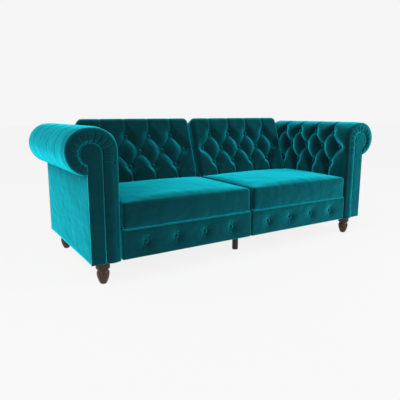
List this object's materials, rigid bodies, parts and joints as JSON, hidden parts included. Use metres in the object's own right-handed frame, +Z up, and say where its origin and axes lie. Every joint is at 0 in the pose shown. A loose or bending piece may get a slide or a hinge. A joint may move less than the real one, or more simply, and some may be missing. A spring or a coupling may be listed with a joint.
{
  "type": "chesterfield sofa bed",
  "caption": "Scroll-arm velvet sofa bed with deep-buttoned arms and split backs that recline flat over box seats on turned legs.",
  "frame": {"origin": "on the floor under the middle of the sofa's box, with the backs upright", "axes": "+X to the right of someone facing the sofa, +Y to its rear, +Z up"},
  "size_m": [2.24, 0.8708, 0.8411],
  "materials": {
    "teal_velvet": "short-pile velvet with a soft sheen",
    "leg_wood": "dark stain, satin lacquer",
    "frame_timber": "sawn pine",
    "spring_steel": "drawn wire",
    "hinge_steel": "black powder coat",
    "zinc_steel": "zinc plate",
    "dust_cloth": "non-woven cloth",
    "webbing": "woven elastic strap",
    "rubber": "matt"
  },
  "bodies": {
    "base": {"center_legs": "leg_wood", "leg_bolts": "zinc_steel", "leg_plates": "zinc_steel", "seat_front_buttons": "teal_velvet", "center_rail": "frame_timber", "rear_stretcher": "teal_velvet", "bed_bumpers": "rubber", "frame_bolts": "zinc_steel", "hinge_pins": "zinc_steel", "seat_hinge_screws": "zinc_steel", "left_arm_frame": "frame_timber", "left_arm_roll_pad": "teal_velvet", "left_arm_inside_pad": "teal_velvet", "left_arm_outside_panel": "teal_velvet", "left_arm_front_facing": "teal_velvet", "left_arm_rear_panel": "teal_velvet", "left_arm_buttons": "teal_velvet", "left_seat_frame": "frame_timber", "left_seat_rear_rail": "frame_timber", "left_seat_springs": "spring_steel", "left_seat_cushion": "teal_velvet", "left_seat_front_panel": "teal_velvet", "left_seat_dust_cover": "dust_cloth", "left_inner_hinge_seat_arm": "hinge_steel", "left_outer_hinge_seat_arm": "hinge_steel", "left_front_leg": "leg_wood", "left_rear_leg": "leg_wood", "right_arm_frame": "frame_timber", "right_arm_roll_pad": "teal_velvet", "right_arm_inside_pad": "teal_velvet", "right_arm_outside_panel": "teal_velvet", "right_arm_front_facing": "teal_velvet", "right_arm_rear_panel": "teal_velvet", "right_arm_buttons": "teal_velvet", "right_seat_frame": "frame_timber", "right_seat_rear_rail": "frame_timber", "right_seat_springs": "spring_steel", "right_seat_cushion": "teal_velvet", "right_seat_front_panel": "teal_velvet", "right_seat_dust_cover": "dust_cloth", "right_inner_hinge_seat_arm": "hinge_steel", "right_outer_hinge_seat_arm": "hinge_steel", "right_front_leg": "leg_wood", "right_rear_leg": "leg_wood"},
    "left_back": {"left_back_frame": "frame_timber", "left_back_webbing": "webbing", "left_back_pad": "teal_velvet", "left_back_rear_panel": "teal_velvet", "left_back_buttons": "teal_velvet", "left_back_hinge_screws": "zinc_steel", "left_inner_hinge_back_arm": "hinge_steel", "left_outer_hinge_back_arm": "hinge_steel"},
    "right_back": {"right_back_frame": "frame_timber", "right_back_webbing": "webbing", "right_back_pad": "teal_velvet", "right_back_rear_panel": "teal_velvet", "right_back_buttons": "teal_velvet", "right_back_hinge_screws": "zinc_steel", "right_inner_hinge_back_arm": "hinge_steel", "right_outer_hinge_back_arm": "hinge_steel"}
  },
  "joints": [
    {"name": "left_back_recline", "type": "hinge", "parent": "base", "child": "left_back", "pos_m": [-0.4275, 0.19738, 0.41], "axis": [-1, 0, 0], "range_deg": [-10, 70.5]},
    {"name": "right_back_recline", "type": "hinge", "parent": "base", "child": "right_back", "pos_m": [0.4275, 0.19738, 0.41], "axis": [-1, 0, 0], "range_deg": [-10, 70.5]}
  ]
}
